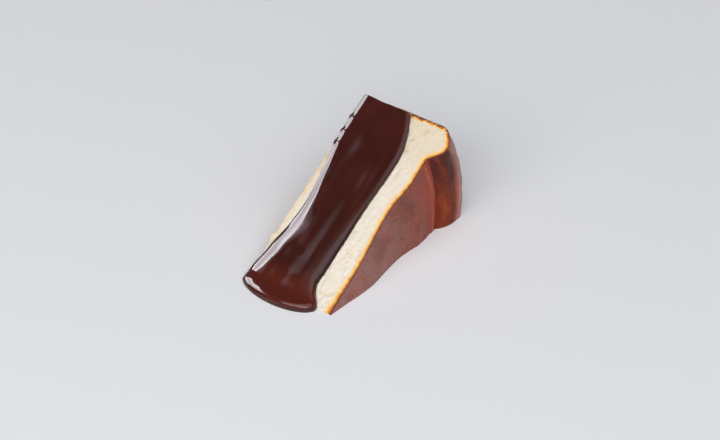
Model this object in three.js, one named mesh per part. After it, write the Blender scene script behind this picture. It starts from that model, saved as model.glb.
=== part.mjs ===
// A slice of burnt basque cheesecake, lying on its side under a thick pour of chocolate sauce.
//
// Millimetres, +Z up. The slice lies on one of its two cut faces. The cake's own height therefore
// runs along X, with the burnt top facing +X, and the slice runs along Y from its tip to the rim.
// Both pieces are built from the cake's axis (X = 0 at the cake's bottom, Y = 0 at the axis), then
// moved together so that the origin is the middle of the footprint.

import * as THREE from 'three';
import { mergeGeometries, mergeVertices } from 'three/addons/utils/BufferGeometryUtils.js';

const { clamp, degToRad, lerp, smoothstep } = THREE.MathUtils;

// The slice: radii from the cake's axis, heights from the cake's bottom, on the upper cut face
const CAKE_RADIUS = 100;
const SIDE_LEAN = 1.2;
const SLICE_ANGLE = degToRad(33.3);
const TIP_RADIUS = 1.5;
const TIP_HEIGHT = 48;
const INNER_TOP_RADIUS = 27;
const INNER_TOP_HEIGHT = 47.2;
const DISH_RADIUS = 54;
const DISH_HEIGHT = 44.9;
const OUTER_TOP_RADIUS = 69;
const OUTER_TOP_HEIGHT = 46.8;
const CREASE_RADIUS = 83.3;
const CREASE_HEIGHT = 46.6;
const LIP_RADIUS = 92.3;
const LIP_HEIGHT = 53;
const LIP_SHOULDER_HEIGHT = 45;
const OUTER_LIP_FULLNESS = 0.4;
const INNER_LIP_FULLNESS = 0.6;
const BOTTOM_ROUND = 2;

// How the top changes towards the cut face that it lies on
const LIP_SAG = 5.4;
const CREASE_SAG = 3.1;
const CREASE_SAG_START = 56;
const INNER_LIFT = 1.5;
const INNER_LIFT_SPAN = 56;

// Soft relief: waves in the burnt top, and the folds that baking paper presses into the side
const TOP_WAVE_DEPTH = 0.3;
const TOP_WAVE_LENGTH = 34;
const TOP_WAVE_SLANT = 3;
const TOP_WAVE_TURN = 5;
const TOP_WAVE_START = 40;
const FOLD_DEPTH = 1.1;
const FOLD_PITCH = degToRad(7.4);
const FOLD_PHASE = 0.9;
const FOLD_MEAN = 2 / Math.PI;
const FOLD_BAND = 4;

// Divisions of the slice's outline, and of its angle
const SLICE_STEPS = 22;
const BOTTOM_PIECES = 14;
const CORNER_PIECES = 3;
const SIDE_PIECES = 10;
const LIP_PIECES = 9;
const DISH_PIECES = 26;
const TIP_PIECES = 8;

// The sauce: its gap to the cake, how thick it lies, and how round its fold and its edges are
const SAUCE_GAP = 0.3;
const COAT_THICKNESS = 2.2;
const TIP_THICKNESS = 2.9;
const TIP_THICKNESS_SPAN = 45;
const FOLD_ROUNDING = 1.2;

// Width of the sauce's rounded edge in its pool and on the slope, on each side, and near the rim
const POOL_LEFT_SHOULDER = 5;
const POOL_RIGHT_SHOULDER = 1.4;
const SLOPE_LEFT_SHOULDER = 16;
const SLOPE_RIGHT_SHOULDER = 1.2;
const RIM_SHOULDER = 0.8;
const SLOPE_START = -4;
const SLOPE_FULL = 12;
const RIM_START = 25;
const RIM_FULL = 55;

// The sauce's pool in front of the tip: half an ellipse on the ground
const POOL_CENTRE_X = 19.5;
const POOL_HALF_WIDTH = 21.3;
const POOL_REACH = 10;
const POOL_LEFT_CORNER = degToRad(24);
const POOL_RIGHT_CORNER = degToRad(9);

// The sauce's two long edges on the upper cut face, as radius and height, from the tip to the rim
const SAUCE_LEFT_EDGE = [
  [2.6, -1.4],
  [12.5, 0.6],
  [19, 1.3],
  [29, 3.4],
  [43, 4.5],
  [57, 3.4],
  [70, 1],
  [80, 0.3],
  [99.3, 0.2],
];
const SAUCE_RIGHT_EDGE = [
  [1.2, 39.9],
  [5.6, 36.3],
  [10.4, 33.7],
  [18, 32.7],
  [33, 33.1],
  [50.3, 34.3],
  [69, 34.5],
  [82, 33.4],
  [92.4, 30.5],
  [99.3, 27.2],
];
const SAUCE_COLUMNS = 20;
const SAUCE_ROWS = 46;
const EDGE_SAMPLES = 90;

const MERGE_DISTANCE = 1e-4;

const sliceMaterial = new THREE.MeshStandardMaterial({ color: 0xe8d8bf, roughness: 0.75, metalness: 0 });
const sauceMaterial = new THREE.MeshStandardMaterial({ color: 0x43201b, roughness: 0.12, metalness: 0 });

const point = (x, y) => new THREE.Vector2(x, y);

// Outline of the upper cut face, with the radius across and the height up
function sliceOutline() {
  const crest = point(LIP_RADIUS, LIP_HEIGHT);
  const crease = point(CREASE_RADIUS, CREASE_HEIGHT);
  const tipTop = point(TIP_RADIUS, TIP_HEIGHT);
  const tipBottom = point(TIP_RADIUS, 0);
  const sideBottom = point(CAKE_RADIUS, BOTTOM_ROUND);
  const shoulderRadius = CAKE_RADIUS + SIDE_LEAN;
  const sideTop = point(shoulderRadius, LIP_SHOULDER_HEIGHT);
  const bottomEnd = point(CAKE_RADIUS - BOTTOM_ROUND, 0);
  const bottomCorner = point(CAKE_RADIUS, 0);
  const dish = [
    crease,
    point(OUTER_TOP_RADIUS, OUTER_TOP_HEIGHT),
    point(DISH_RADIUS, DISH_HEIGHT),
    point(INNER_TOP_RADIUS, INNER_TOP_HEIGHT),
    tipTop,
  ];
  const outerLip = new THREE.CubicBezierCurve(
    sideTop,
    point(shoulderRadius, lerp(LIP_SHOULDER_HEIGHT, LIP_HEIGHT, OUTER_LIP_FULLNESS)),
    point(lerp(LIP_RADIUS, shoulderRadius, OUTER_LIP_FULLNESS), LIP_HEIGHT),
    crest,
  );
  const innerLip = new THREE.CubicBezierCurve(
    crest,
    point(lerp(CREASE_RADIUS, LIP_RADIUS, INNER_LIP_FULLNESS), LIP_HEIGHT),
    crest.clone().lerp(crease, INNER_LIP_FULLNESS),
    crease,
  );
  const stretches = [
    [new THREE.LineCurve(tipBottom, bottomEnd), BOTTOM_PIECES],
    [new THREE.QuadraticBezierCurve(bottomEnd, bottomCorner, sideBottom), CORNER_PIECES],
    [new THREE.LineCurve(sideBottom, sideTop), SIDE_PIECES],
    [outerLip, LIP_PIECES],
    [innerLip, LIP_PIECES],
    [new THREE.SplineCurve(dish), DISH_PIECES],
    [new THREE.LineCurve(tipTop, tipBottom), TIP_PIECES],
  ];
  return stretches.flatMap(([curve, pieces]) => curve.getSpacedPoints(pieces).slice(0, -1));
}

// How far the top stands above its height on the upper face. share is 0 there, 1 at the lower face.
function topChange(radius, share) {
  const creaseSag = CREASE_SAG * smoothstep(radius, CREASE_SAG_START, CREASE_RADIUS);
  const lipSag = (LIP_SAG - CREASE_SAG) * smoothstep(radius, CREASE_RADIUS, LIP_RADIUS);
  const inner = Math.min(radius, INNER_LIFT_SPAN);
  const lift = INNER_LIFT * Math.sin((Math.PI * inner) / INNER_LIFT_SPAN) ** 2;
  const fade = Math.sin(Math.PI * share) * smoothstep(radius, 0, TOP_WAVE_START);
  const along = Math.sin((radius * 2 * Math.PI) / TOP_WAVE_LENGTH + TOP_WAVE_SLANT * share);
  const across = Math.cos(TOP_WAVE_TURN * share + radius / TOP_WAVE_LENGTH);
  return share * (lift - creaseSag - lipSag) + TOP_WAVE_DEPTH * fade * along * across;
}

// How far the side stands in or out at this angle: long folds that fade at the bottom and the lip
function sideFold(angle, height) {
  const turns = angle / FOLD_PITCH + FOLD_PHASE;
  const crest = Math.abs(Math.sin(Math.PI * turns));
  const fade = Math.sin(Math.PI * clamp(height / LIP_HEIGHT, 0, 1));
  return FOLD_DEPTH * fade * (crest - FOLD_MEAN);
}

// Turns the extruded outline (radius, height, share of the angle) round the cake's axis
function bendIntoSlice(geometry) {
  const places = geometry.getAttribute('position');
  for (let i = 0; i < places.count; i += 1) {
    const share = places.getZ(i);
    const angle = SLICE_ANGLE * (1 - share);
    const height = places.getY(i) * (1 + topChange(places.getX(i), share) / TIP_HEIGHT);
    const onSide = smoothstep(places.getX(i), CAKE_RADIUS - FOLD_BAND, CAKE_RADIUS);
    const radius = places.getX(i) + onSide * sideFold(angle, height);
    places.setXYZ(i, height, radius * Math.cos(angle), radius * Math.sin(angle));
  }
}

// One closed skin from faces that meet at equal points
function closedSkin(geometry) {
  geometry.deleteAttribute('normal');
  geometry.deleteAttribute('uv');
  const skin = mergeVertices(geometry, MERGE_DISTANCE);
  skin.computeVertexNormals();
  return skin;
}

function makeSlice() {
  const geometry = new THREE.ExtrudeGeometry(new THREE.Shape(sliceOutline()), {
    depth: 1,
    steps: SLICE_STEPS,
    bevelEnabled: false,
  });
  bendIntoSlice(geometry);
  const slice = new THREE.Mesh(closedSkin(geometry), sliceMaterial);
  slice.name = 'cheesecake_slice';
  return slice;
}

// A point of the upper cut face seen from above
const overSlope = ([radius, height]) => point(height, radius * Math.cos(SLICE_ANGLE));

// The four edges of the sauce seen from above: two from the pool to the rim, two from left to right
function sauceEdges() {
  const start = Math.PI + POOL_LEFT_CORNER;
  const end = 2 * Math.PI - POOL_RIGHT_CORNER;
  const front = new THREE.EllipseCurve(POOL_CENTRE_X, 0, POOL_HALF_WIDTH, POOL_REACH, start, end);
  const left = new THREE.SplineCurve([front.getPoint(0), ...SAUCE_LEFT_EDGE.map(overSlope)]);
  const right = new THREE.SplineCurve([front.getPoint(1), ...SAUCE_RIGHT_EDGE.map(overSlope)]);
  const rim = new THREE.LineCurve(left.getPoint(1), right.getPoint(1));
  return { front, left, right, rim };
}

// A place inside four edges, from its share across (left to right) and its share along (pool to rim)
function insideEdges({ front, left, right, rim }, across, along) {
  const corners = [
    [front.getPoint(0), (1 - across) * (1 - along)],
    [front.getPoint(1), across * (1 - along)],
    [rim.getPoint(0), (1 - across) * along],
    [rim.getPoint(1), across * along],
  ];
  const place = point(0, 0);
  place.addScaledVector(front.getPointAt(across), 1 - along);
  place.addScaledVector(rim.getPointAt(across), along);
  place.addScaledVector(left.getPointAt(along), 1 - across);
  place.addScaledVector(right.getPointAt(along), across);
  corners.forEach(([corner, weight]) => place.addScaledVector(corner, -weight));
  return place;
}

// A function that gives the distance from a place to the nearest edge
function distanceToEdges(edges) {
  const rims = Object.values(edges).flatMap((curve) => {
    const stops = curve.getSpacedPoints(EDGE_SAMPLES).map(({ x, y }) => new THREE.Vector3(x, y, 0));
    return stops.slice(1).map((stop, i) => new THREE.Line3(stops[i], stop));
  });
  const nearest = new THREE.Vector3();
  return ({ x, y }) => {
    const place = new THREE.Vector3(x, y, 0);
    const distances = rims.map((line) => line.closestPointToPoint(place, true, nearest).distanceTo(place));
    return Math.min(...distances);
  };
}

// What the sauce lies on: the ground, then the upper cut face
function sauceBed(y) {
  return Math.max(0, (y * Math.sin(SLICE_ANGLE) + SAUCE_GAP) / Math.cos(SLICE_ANGLE));
}

// The sauce's full height above the ground, away from its edges
function sauceCrown(y) {
  const rise = y * Math.tan(SLICE_ANGLE);
  const foldedRise = (rise + Math.hypot(rise, FOLD_ROUNDING)) / 2;
  const thickness = lerp(TIP_THICKNESS, COAT_THICKNESS, smoothstep(y, 0, TIP_THICKNESS_SPAN));
  return foldedRise + thickness / Math.cos(SLICE_ANGLE);
}

// Width of the rounded edge at a place: broad on the left of the slope, narrow on the right and at the rim
function shoulderWidth({ x, y }) {
  const rightness = smoothstep(x, 0, 2 * POOL_CENTRE_X);
  const onPool = lerp(POOL_LEFT_SHOULDER, POOL_RIGHT_SHOULDER, rightness);
  const onSlope = lerp(SLOPE_LEFT_SHOULDER, SLOPE_RIGHT_SHOULDER, rightness);
  const width = lerp(onPool, onSlope, smoothstep(y, SLOPE_START, SLOPE_FULL));
  return lerp(width, RIM_SHOULDER, smoothstep(y, RIM_START, RIM_FULL));
}

// 0 at an edge, 1 a shoulder's width inside it, rounded like a quarter of an ellipse
function edgeRound(distance, shoulder) {
  const short = 1 - Math.min(distance / shoulder, 1);
  return Math.sqrt(1 - short * short);
}

// Spreads grid lines, counted from the middle of a face one unit wide, so that they crowd its edges
const crowded = (offset) => (1 + Math.sin(Math.PI * offset)) / 2;

// One face of the sauce. Its height above the bed is a function of a place on it, and 0 at the edges.
function sauceFace(edges, heightAbove) {
  const face = new THREE.PlaneGeometry(1, 1, SAUCE_COLUMNS, SAUCE_ROWS);
  const places = face.getAttribute('position');
  for (let i = 0; i < places.count; i += 1) {
    const across = crowded(places.getX(i));
    const along = crowded(places.getY(i));
    const place = insideEdges(edges, across, along);
    const atEdge = Math.min(across, 1 - across, along, 1 - along) === 0;
    const height = sauceBed(place.y) + (atEdge ? 0 : heightAbove(place));
    places.setXYZ(i, place.x, place.y, height);
  }
  return face;
}

function turnOver(face) {
  const order = face.getIndex();
  for (let i = 0; i < order.count; i += 3) {
    const second = order.getX(i + 1);
    order.setX(i + 1, order.getX(i + 2));
    order.setX(i + 2, second);
  }
  return face;
}

function makeSauce() {
  const edges = sauceEdges();
  const distanceAt = distanceToEdges(edges);
  const top = sauceFace(edges, (place) => {
    const depth = sauceCrown(place.y) - sauceBed(place.y);
    return depth * edgeRound(distanceAt(place), shoulderWidth(place));
  });
  const underside = turnOver(sauceFace(edges, () => 0));
  const sauce = new THREE.Mesh(closedSkin(mergeGeometries([top, underside])), sauceMaterial);
  sauce.name = 'chocolate_sauce';
  return sauce;
}

const part = new THREE.Group();
part.add(makeSlice(), makeSauce());

const footprint = new THREE.Box3().setFromObject(part);
const middle = footprint.getCenter(new THREE.Vector3());
part.position.set(-middle.x, -middle.y, -footprint.min.z);

export default part;
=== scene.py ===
"""A slice of burnt basque cheesecake, lying on one cut face, under a thick pour of chocolate sauce."""

import math

import bpy
import numpy as np
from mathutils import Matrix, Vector, noise


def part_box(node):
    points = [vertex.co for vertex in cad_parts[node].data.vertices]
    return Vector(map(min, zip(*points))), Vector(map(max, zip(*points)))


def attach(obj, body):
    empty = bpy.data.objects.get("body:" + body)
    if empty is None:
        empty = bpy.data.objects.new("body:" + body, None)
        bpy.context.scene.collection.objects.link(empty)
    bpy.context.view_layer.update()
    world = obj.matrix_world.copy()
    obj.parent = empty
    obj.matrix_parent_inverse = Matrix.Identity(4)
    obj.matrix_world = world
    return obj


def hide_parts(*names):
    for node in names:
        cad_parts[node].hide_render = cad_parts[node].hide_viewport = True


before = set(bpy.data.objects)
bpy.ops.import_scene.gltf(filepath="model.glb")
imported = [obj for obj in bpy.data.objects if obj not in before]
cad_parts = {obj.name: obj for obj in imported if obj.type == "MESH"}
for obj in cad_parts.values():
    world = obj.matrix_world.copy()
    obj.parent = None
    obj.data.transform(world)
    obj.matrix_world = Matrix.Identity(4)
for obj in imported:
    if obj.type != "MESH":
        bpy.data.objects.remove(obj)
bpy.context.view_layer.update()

bl_info = {
    "name": "Basque Cheesecake Slice",
    "version": (1, 0, 0),
    "blender": (4, 5, 0),
    "location": "3D View > Sidebar > Cheesecake",
    "description": "Builds a burnt cheesecake slice and its chocolate sauce around a fixed frame",
    "category": "Object",
}

MM = 0.001
BODY = "root"
SLICE_NODE = "cheesecake_slice"
SAUCE_NODE = "chocolate_sauce"
SLICE_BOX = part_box(SLICE_NODE)
SEED = 33

# Divisions of the slice along its radius, its height and its angle
RADIUS_CELLS = 230
HEIGHT_CELLS = 112
ANGLE_CELLS = 60

# A size of noise so long that the noise doesn't change along that axis, in mm
STILL = 1000

# Relief of the slice's skin in mm: size along radius, arc and height, and depth where it isn't a setting
FOLD_WANDER = (STILL, 25, 30)
SKIN_SWELL = (9, 14, STILL)
SKIN_STREAK = (2.6, 11, STILL)
SKIN_GRAIN = (1.3, 1.6, STILL)
SIDE_CRINKLE = (STILL, 3.4, 15)
SIDE_CRINKLE_DEPTH = 0.2
SIDE_BLISTER = (STILL, 5, 4)
SIDE_BLISTER_DEPTH = 0.12
BASE_SWELL = (7, 7, STILL)
BASE_SWELL_DEPTH = 0.35
BASE_GRAIN = (2.2, 2.2, STILL)
BASE_GRAIN_DEPTH = 0.4
BASE_DEEPEST_DENT = 0.8

# Size of the crumb's noise in mm, and of the drag marks of the knife along radius and height
CRUMB_SIZE = 1.9
CRUMB_DRAG = (9, 3.2, STILL)

# Spans in mm, from where something is nothing to where it is whole
TOP_WAVES_START = (0, 40)
SKIN_START = (0, 12)
BASE_CREASE_START = (45, 95)
CRUMB_START = (0, 0.8)
CRUMB_CALMER = (8, 38)
PORES_START = (0.5, 1.5)

# How far the top's waves turn from cut face to cut face, along and across them
WAVE_TURN_ALONG = 3
WAVE_TURN_ACROSS = 5

# Where the first fold lies and how far the folds stray, as shares of a fold, and their mean height
FOLD_SHIFT = 0.9
FOLD_STRAY = 0.25
FOLD_MEAN = 2 / math.pi

# Narrowness of the creases in the base, as a power
BASE_CREASE_POWER = 4

# Open pores: least and most radius in mm, least and most stretch, and depth as a share of the radius
PORE_RADII = (0.35, 0.9)
PORE_STRETCH = (0.7, 1.4)
PORE_DEPTH = 0.42

# Share of the pores that crowd near the tip, and the share of the slice's length where those lie
PORES_AT_TIP = 0.35
PORES_AT_TIP_SPAN = 0.4

# The groove along the crease and the ridge beside it, in half widths of the groove
GROOVE_MIDDLE = 0.6
RIDGE_MIDDLE = -2.6
RIDGE_WIDTH = 2
RIDGE_HEIGHT = 0.45

# Where the lip's hollow starts and ends, as shares of the slice's angle, and how uneven it is
HOLLOW_START = (0.06, 0.25)
HOLLOW_END = (0.85, 0.55)
HOLLOW_UNEVEN = 0.6

# Half width of the lump in the bottom edge in mm, and its half depth as a share of the slice's angle
LUMP_HALF_WIDTH = 1.9
LUMP_SHARE = 0.16

# How soon the foot of the tip falls back, in mm
TIP_FOOT_FADE = 2

# Divisions of the sauce across and along
SAUCE_COLUMNS = 130
SAUCE_ROWS = 300

# The sauce's two long edges on the upper cut face, as radius and height in mm, from the tip to the rim
SAUCE_LEFT_EDGE = (
    (2.6, -1.4), (12.5, 0.6), (19, 1.3), (29, 3.4), (43, 4.5), (57, 3.4), (70, 1), (80, 0.1), (99.3, -0.1),
)
SAUCE_RIGHT_EDGE = (
    (1.2, 39.9), (5.6, 36.4), (10.4, 34), (18, 34.1), (33, 34),
    (50.3, 33.9), (69, 34.8), (82, 34.2), (92.4, 30.7), (99.3, 27.2),
)

# Small runs of sauce over the cake's bottom edge: radius, reach and half width in mm
SAUCE_RUNS = ((86.2, 0.4, 1.1), (78.4, 0.4, 1), (72, 0.5, 1.3))

# Soft ripples along the sauce: height from the cake's bottom, radius and half length in mm
SAUCE_RIPPLES = ((24.8, 60, 7), (12.3, 73.8, 5), (12.8, 15, 4))

# How close to an edge of the sauce its small unevenness stays, as a power of the share across
EDGE_HOLD = 9

# Sizes of the sauce's noise in mm, from the cake's bottom to its top and along the flow
SAUCE_SWELL = (13, 48, STILL)
SAUCE_STREAK = (5, 28, STILL)
RAGGED_SIZE = 3.4

# Spans in mm along the flow, from where something is nothing to where it is whole
ONTO_SLOPE = (-7, 4)
RAGGED_START = (-2, 0)
RAGGED_CALMER = (0, 30)
STREAKS_START = (4, 20)
ROLL_START = (-6, 8)
ROLL_END = (40, 12)
SHADE_START = (0, 8)

# Where the sauce's edges start to narrow towards the rim and over what length, left and right, in mm
RIM_STARTS = (23, 16)
RIM_SPANS = (24, 32)

# Span in mm across the pool where its round edge turns from the left one to the right one
POOL_TURN = (3, 22)

# How far the sauce drops past the cake's bottom edge, in mm
EDGE_DROP = 1.8

# The sauce's slanting strips: their curve, how much more they lose at the bulge, how much less where flat
SLANT_CURVE = 1.5
BULGE_LOSS = 0.25
FLAT_GAIN = 0.75

# The runs' ridges: distance from the edge in mm where they end and are whole, and the loss they fill
RUN_SPAN = (4.5, 0.6)
RUN_FILL = 0.75

# Shares across the sauce between which its left edge turns into its right one
LEFT_TO_RIGHT = (0.35, 0.95)

# Shares of its full depth between which painted shade darkens the right edge
PAINTED_SHADE_SPAN = (0.93, 0.65)

# Steps in the pool's round front, in each span of a long edge, and in the whole outline of the sauce
FRONT_STEPS = 100
EDGE_STEPS = 60
OUTLINE_STEPS = 700

# Passes that soften the distance from the sauce's edges
SOFT_PASSES = 300

# Share of the sauce's length over which its rows crowd at the pool's front
FRONT_CROWDING = 0.04

# Half of the gap between the two edges at the pool's front, in radians
FRONT_GAP = 0.02

# The strip light on the left: its middle, the point it faces and its size in metres, its watts and shade
STRIP_PLACE = (-0.662, -0.092, 0.478)
STRIP_TARGET = (0.058, 0.008, 0.168)
STRIP_SIZE = (0.4, 0.6)
STRIP_WATTS = 12.3
STRIP_SHADE = (0.95, 0.93, 1)

# Its brightness: place from its bottom to its top, and share of its strength
STRIP_BANDS = (
    (0, 1), (0.18, 0.55), (0.5, 0.5), (0.615, 1), (0.66, 1), (0.685, 0.08), (0.825, 0.045), (1, 0),
)

# The fill light, likewise
FILL_PLACE = (0.5, -1.3, 0.8)
FILL_TARGET = (0, 0, 0.03)
FILL_SIZE = (1.8, 1)
FILL_WATTS = 16

# The light all round: its shade, and the direction of its bright middle from the part
ROUND_SHADE = (0.95, 0.97, 1)
GLOW_MIDDLE = (0.45, -0.3, 0.84)

# How far the floor lies under the part, in mm
FLOOR_GAP = 0.05


# Settings

def length(name, description, millimetres):
    return bpy.props.FloatProperty(
        name=name, description=description, default=millimetres * MM, unit="LENGTH", precision=4
    )


def turn(name, description, degrees):
    return bpy.props.FloatProperty(
        name=name, description=description, default=math.radians(degrees), unit="ROTATION"
    )


def number(name, description, value):
    return bpy.props.FloatProperty(name=name, description=description, default=value)


def linear(channel):
    """A display value from 0 to 255 as a linear one from 0 to 1."""
    share = channel / 255
    return share / 12.92 if share <= 0.04045 else ((share + 0.055) / 1.055) ** 2.4


def colour(name, description, red, green, blue):
    return bpy.props.FloatVectorProperty(
        name=name,
        description=description,
        default=(linear(red), linear(green), linear(blue)),
        subtype="COLOR",
        size=3,
        min=0,
        max=1,
    )


class CheesecakeSliceSettings(bpy.types.PropertyGroup):
    """Sizes, relief and colours of the slice."""

    cake_radius: length("Cake radius", "From the cake's axis to its side", 100)
    slice_angle: turn("Slice angle", "Between the two cut faces", 33.3)
    tip_radius: length("Tip radius", "Where the blunt tip starts", 1.5)
    tip_foot: length("Tip foot", "How far the tip's foot stands forward", 0.7)
    tip_height: length("Tip height", "Height of the cake at the tip", 48)
    inner_top_radius: length("Inner top radius", "Where the top starts to sink", 27)
    inner_top_height: length("Inner top height", "Height of the cake there", 47.2)
    dish_radius: length("Dish radius", "Where the sunken top is lowest", 54)
    dish_height: length("Dish height", "Height of the cake there", 44.9)
    outer_top_radius: length("Outer top radius", "Where the top rises again", 69)
    outer_top_height: length("Outer top height", "Height of the cake there", 46.8)
    crease_radius: length("Crease radius", "Where the top meets the lip", 83.3)
    crease_height: length("Crease height", "Height of the cake at the crease", 46.6)
    lip_radius: length("Lip radius", "Where the raised lip is highest", 92.3)
    lip_height: length("Lip height", "Height of the raised lip", (SLICE_BOX[1].x - SLICE_BOX[0].x) / MM)
    lip_shoulder: length("Lip shoulder", "Height where the side bends into the lip", 45)
    outer_fullness: number("Outer lip fullness", "How square the lip's section is towards the side", 0.4)
    inner_fullness: number("Inner lip fullness", "How square the lip's section is towards the crease", 0.6)
    bottom_round: length("Bottom round", "Radius of the bottom edge", 2)
    lip_sag: length("Lip sag", "How much lower the lip is at the lower cut face", 5.4)
    crease_sag: length("Crease sag", "How much lower the crease is at the lower cut face", 3.1)
    corner_lift: length("Corner lift", "How much less the lip's outer corner sags there", 1.6)
    lip_sag_start: length("Lip sag start", "Radius where the sag starts", 56)
    inner_lift: length("Inner lift", "How much higher the inner top is at the lower cut face", 1.5)
    inner_lift_span: length("Inner lift span", "Radius where that lift ends", 56)
    wave_depth: length("Top waves", "Depth of the soft waves in the burnt top", 0.3)
    wave_length: length("Top wave length", "Length of those waves", 34)
    fold_depth: length("Fold depth", "Depth of the folds left by baking paper", 1.4)
    fold_pitch: turn("Fold pitch", "Angle from one fold to the next", 7.4)
    crease_depth: length("Base crease depth", "Depth of the creases that run on into the base", 0.4)
    side_lean: length("Side lean", "How much wider the cake is at the lip than at its bottom", 1.2)
    crumb_depth: length("Crumb depth", "Roughness of the cut faces", 0.156)
    pore_count: bpy.props.IntProperty(name="Pores", description="Open pores in each cut face", default=170)
    skin_depth: length("Skin depth", "Wrinkles of the burnt skin", 0.22)
    lump_radius: length("Lump radius", "Where a lump of crumb stands out of the bottom edge", 20.8)
    lump_reach: length("Lump reach", "How far that lump stands out", 1.5)
    groove_depth: length("Groove depth", "Depth of the groove between the top and the lip", 0.8)
    groove_width: length("Groove width", "Half width of that groove", 0.9)
    crease_drift: length("Crease drift", "How far the crease nears the axis at the lower cut face", 2.6)
    crease_reach: length("Crease reach", "How far from the crease the top moves with it", 6)
    hollow_radius: length("Hollow radius", "Where a shallow hollow runs along the lip", 91)
    hollow_depth: length("Hollow depth", "Depth of that hollow", 0.9)
    hollow_width: length("Hollow width", "Half width of that hollow", 1.6)

    cream: colour("Cream", "Inside of the cake", 239, 228, 212)
    # Partly painted shade: this darker, yellower cream also darkens the inside towards the rim to even out
    # the light
    warm_and_shaded_cream: colour("Warm cream", "Yellower inside towards the rim", 229, 211, 182)
    pore: colour("Pore", "Shade inside the pores", 222, 200, 150)
    golden: colour("Golden", "Inside just under the crust", 250, 212, 124)
    orange: colour("Orange", "Baked edge of the inside", 240, 160, 46)
    caramel: colour("Caramel", "Under the burnt skin", 202, 112, 22)
    rind: colour("Rind", "Cut edge of the burnt skin", 104, 50, 14)
    burnt: colour("Burnt", "Darkest burnt skin", 70, 20, 10)
    mahogany: colour("Mahogany", "Most of the burnt skin", 146, 68, 47)
    maroon: colour("Maroon", "Burnt skin of the lip", 90, 30, 16)
    copper: colour("Copper", "Warmer skin towards the crease", 158, 54, 22)
    # Painted highlight: a paler pinkish colour for the ridge along the crease, where it catches the light
    painted_ridge_highlight: colour("Rosewood", "Ridge along the crease", 192, 88, 58)
    # Painted sheen: a paler pinkish colour for the lip's outer edge and the side's top, standing in for
    # reflection at grazing angles
    painted_sheen_blush: colour("Blush", "Paler skin over the lip's outer edge", 194, 140, 126)
    # Painted sheen: a paler mauve that stands in for the floor's reflection on the skin near the tip
    painted_sheen_mauve: colour("Mauve", "Paler skin towards the tip", 154, 111, 103)
    amber: colour("Amber", "Lighter burnt skin along the crease and the lip", 168, 72, 34)
    paper_tan: colour("Paper tan", "Crests of the side's folds", 204, 144, 80)
    base_tan: colour("Base tan", "Bottom of the cake", 226, 172, 98)


class ChocolateSauceSettings(bpy.types.PropertyGroup):
    """Sizes and colours of the sauce."""

    coat_thickness: length("Coat", "Thickness of the sauce on the slope", 2.2)
    tip_thickness: length("Coat at the tip", "Thickness of the sauce near the tip", 2.9)
    tip_span: length("Thick stretch", "Length over which it gets thinner", 45)
    fold_rounding: length("Fold rounding", "How round the sauce bends into its pool", 1.6)
    left_edge: length("Left edge", "Width of the round edge towards the cake's bottom", 3.6)
    right_edge: length("Right edge", "Width of the round edge towards the cake's top", 3.6)
    rim_edge: length("Rim edge", "Width of both round edges near the cake's rim", 0.6)
    rim_end: length("Rim end", "Width of the round edge where the sauce stops at the rim", 0.8)
    pool_right_edge: length("Pool right edge", "Width of the round edge of the pool on the right", 1.9)
    pool_left_edge: length("Pool left edge", "Width of the round edge of the pool on the left", 6.5)
    slant: number("Slant", "Share of its thickness that the sauce loses towards an edge", 0.37)
    right_slant: length("Right slant", "Width of that slanting strip on the right of the tip", 9)
    rim_right_slant: length("Rim right slant", "Width of that slanting strip on the right of the rim", 2.4)
    left_slant: length("Left slant", "Width of that slanting strip on the left of the tip", 8.8)
    left_bulge: length("Left bulge", "How much wider that strip is in its widest stretch", 2.4)
    bulge_middle: length("Bulge middle", "Where that stretch is, along the flow", 24)
    bulge_span: length("Bulge span", "Half length of that stretch", 8)
    rim_left_slant: length("Rim left slant", "Width of that slanting strip on the left of the rim", 3.4)
    left_loss: number("Left slant share", "Share of the thickness that is lost left of the tip", 0.56)
    flat_middle: length("Flat middle", "Where the slanting strip on the right is least, along the flow", 47)
    flat_span: length("Flat span", "Half length of that stretch", 16)
    right_swell: length("Right swell", "Thicker roll of sauce along the right of the tip", 1)
    pool_centre: length("Pool centre", "Middle of the pool from the cake's bottom", 19.5)
    pool_half_width: length("Pool half width", "Half of the pool's width", 21.3)
    pool_reach: length("Pool reach", "How far the pool runs out in front of the tip", 10)
    pool_left_corner: turn("Pool left corner", "Where the pool's round front starts", 24)
    pool_right_corner: turn("Pool right corner", "Where the pool's round front ends", 9)
    swell: length("Swell", "Height of the soft swells along the flow", 0.3)
    streak: length("Streak", "Height of the narrow streaks along the flow", 0.12)
    ripple_drop: length("Ripple drop", "Half of the step down at a ripple", 0.27)
    ripple_width: length("Ripple width", "Half width of a ripple", 1.7)
    ragged: length("Ragged", "How uneven the right edge is", 0.12)
    sunk: length("Sunk", "How far the sauce sinks into the crumb", 0.15)

    chocolate: colour("Chocolate", "The sauce", 60, 22, 16)
    # Painted light: a redder, lighter chocolate that stands in for light from below in the pool; it also
    # tints random flow streaks
    flow_and_pool_light_chocolate: colour("Pool chocolate", "The sauce in its pool, with light from below", 88, 31, 20)
    # Painted shade: a darker chocolate for the sauce's round right edge, standing in for shade
    painted_shade_chocolate: colour("Dark chocolate", "The sauce's round edge towards the cake's top", 34, 12, 8)


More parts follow.
